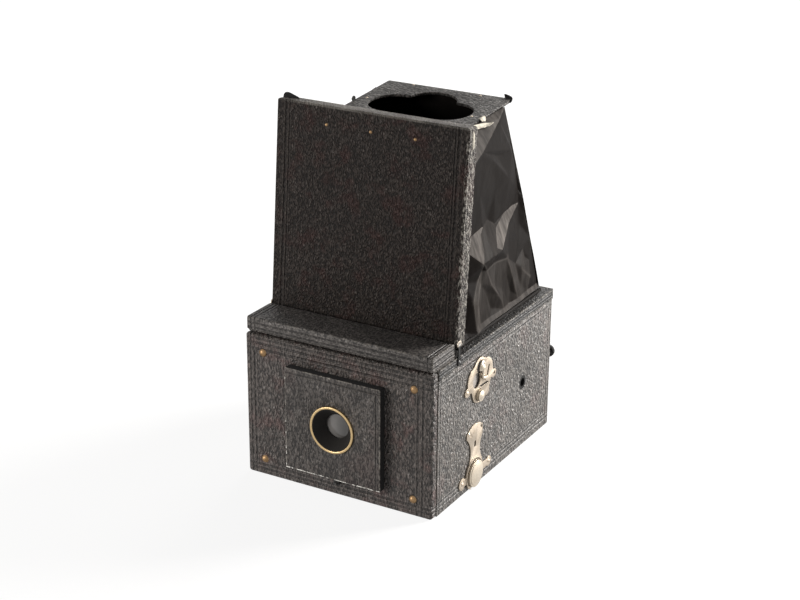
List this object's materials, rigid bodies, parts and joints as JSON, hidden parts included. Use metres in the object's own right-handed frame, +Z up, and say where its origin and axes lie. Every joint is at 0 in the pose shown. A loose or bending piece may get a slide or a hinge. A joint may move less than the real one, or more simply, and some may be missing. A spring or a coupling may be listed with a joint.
{
  "type": "box reflex camera",
  "caption": "Leather-covered box camera with a viewing hood raised on its open lid, a mirror under a ground-glass screen and a sliding lens panel.",
  "frame": {"origin": "centre of the box's underside, which stands on the table", "axes": "+X right along the front as its viewer sees it, +Y from the lens to the back door, +Z up"},
  "size_m": [0.1453, 0.1841, 0.2476],
  "materials": {
    "leather_cloth": "pebbled black covering cloth over wood, worn grey on the edges",
    "blackened_wood": "wood stained black",
    "matt_black_metal": "matt black paint",
    "nickel": "worn nickel plate",
    "brass": "lacquered brass, tarnished in the corners",
    "steel": "plain drawn steel",
    "lens_glass": "polished",
    "ground_glass": "ground on one side",
    "plate_glass": "coated on one side",
    "mirror_glass": "front silvered",
    "hood_cloth": "creased black cloth"
  },
  "bodies": {
    "body": {"base_board": "leather_cloth", "left_wall": "leather_cloth", "right_wall": "leather_cloth", "front_board": "leather_cloth", "front_ledge": "leather_cloth", "top_frame": "leather_cloth", "hood_base_frame": "blackened_wood", "well_floor": "blackened_wood", "screen_frame": "blackened_wood", "focusing_screen": "ground_glass", "plate_mask": "matt_black_metal", "plate_rails": "blackened_wood", "lens_guide": "blackened_wood", "front_nails": "brass", "release_plate": "nickel", "index_disc": "steel", "knob_plate": "nickel", "plate_screws": "steel", "tripod_bushes": "brass", "lid_straps": "nickel", "strap_pins": "steel", "door_hinge_leaves": "brass", "plate_sheath": "matt_black_metal", "glass_plate": "plate_glass", "hood_cloth": "hood_cloth"},
    "lens_carriage": {"lens_panel": "leather_cloth", "lens_box": "blackened_wood", "lens_ring": "brass", "lens_funnel": "matt_black_metal", "front_glass": "lens_glass", "rear_glass": "lens_glass", "retaining_ring": "brass", "lens_barrel": "matt_black_metal", "shutter_plate": "matt_black_metal", "focus_racks": "brass", "panel_catch": "matt_black_metal"},
    "shutter": {"shutter_blade": "steel"},
    "focus_shaft": {"focus_spindle": "steel", "focus_pinions": "brass", "focus_knob": "nickel"},
    "mirror": {"mirror_frame": "blackened_wood", "mirror_glass": "mirror_glass", "mirror_axle": "steel"},
    "release": {"release_lever": "nickel", "lever_cap": "nickel", "release_shaft": "steel"},
    "link": {"mirror_link": "steel"},
    "button": {"release_button": "nickel"},
    "lid": {"lid_board": "leather_cloth", "lid_pins": "steel", "lid_nails": "brass", "eye_hinge_leaves": "nickel"},
    "eye_shade": {"eye_board": "leather_cloth", "eye_hinge_wings": "nickel", "eye_pins": "nickel"},
    "door": {"back_door": "leather_cloth", "door_hinge_wings": "brass", "pressure_board": "matt_black_metal", "pressure_springs": "steel"},
    "latch": {"back_latch": "matt_black_metal"}
  },
  "joints": [
    {"name": "lid_hinge", "type": "hinge", "parent": "body", "child": "lid", "pos_m": [0, -0.0526, 0.11], "axis": [-1, 0, 0], "range_deg": [0, 85.2], "deforming": ["hood_cloth"]},
    {"name": "eye_board_hinge", "type": "hinge", "parent": "lid", "child": "eye_shade", "pos_m": [0, -0.03775, 0.2319], "axis": [-1, 0, 0], "range_deg": [0, 99]},
    {"name": "focus_slide", "type": "slide", "parent": "body", "child": "lens_carriage", "axis": [0, -1, 0], "range_m": [0, 0.014]},
    {"name": "focus_turn", "type": "hinge", "parent": "body", "child": "focus_shaft", "pos_m": [0.07, -0.0292, 0.01], "axis": [1, 0, 0], "range_deg": [0, 272]},
    {"name": "mirror_lift", "type": "hinge", "parent": "body", "child": "mirror", "pos_m": [0, 0.0639, 0.0676], "axis": [-1, 0, 0], "range_deg": [0, 45], "stiffness_Nm_per_rad": 0.03, "springref_deg": -22.92},
    {"name": "release_turn", "type": "hinge", "parent": "body", "child": "release", "pos_m": [0.07, -0.0237, 0.084], "axis": [-1, 0, 0], "range_deg": [0, 45]},
    {"name": "link_swing", "type": "hinge", "parent": "release", "child": "link", "pos_m": [0.0588, -0.0278, 0.07272], "axis": [-1, 0, 0], "range_deg": [-45, 0]},
    {"name": "shutter_swing", "type": "hinge", "parent": "lens_carriage", "child": "shutter", "pos_m": [0, -0.066, 0.074], "axis": [0, -1, 0], "range_deg": [0, 55.1]},
    {"name": "button_press", "type": "slide", "parent": "body", "child": "button", "axis": [-1, 0, 0], "range_m": [0, 0.002], "stiffness_N_per_m": 300, "springref_m": -0.001},
    {"name": "door_hinge", "type": "hinge", "parent": "body", "child": "door", "pos_m": [-0.0626, 0.087, 0.05], "axis": [0, 0, 1], "range_deg": [0, 120]},
    {"name": "latch_turn", "type": "hinge", "parent": "body", "child": "latch", "pos_m": [0.06625, 0.0865, 0.052], "axis": [0, 1, 0], "range_deg": [0, 90]}
  ],
  "couplings": [
    {"joint": "eye_board_hinge", "follows": "lid_hinge", "ratio": 1.1596},
    {"joint": "focus_turn", "follows": "focus_slide", "rad_per_m": 333.33},
    {"joint": "release_turn", "follows": "mirror_lift", "ratio": 1},
    {"joint": "link_swing", "follows": "mirror_lift", "ratio": -1},
    {"joint": "shutter_swing", "follows": "mirror_lift", "ratio": 1.2222}
  ]
}
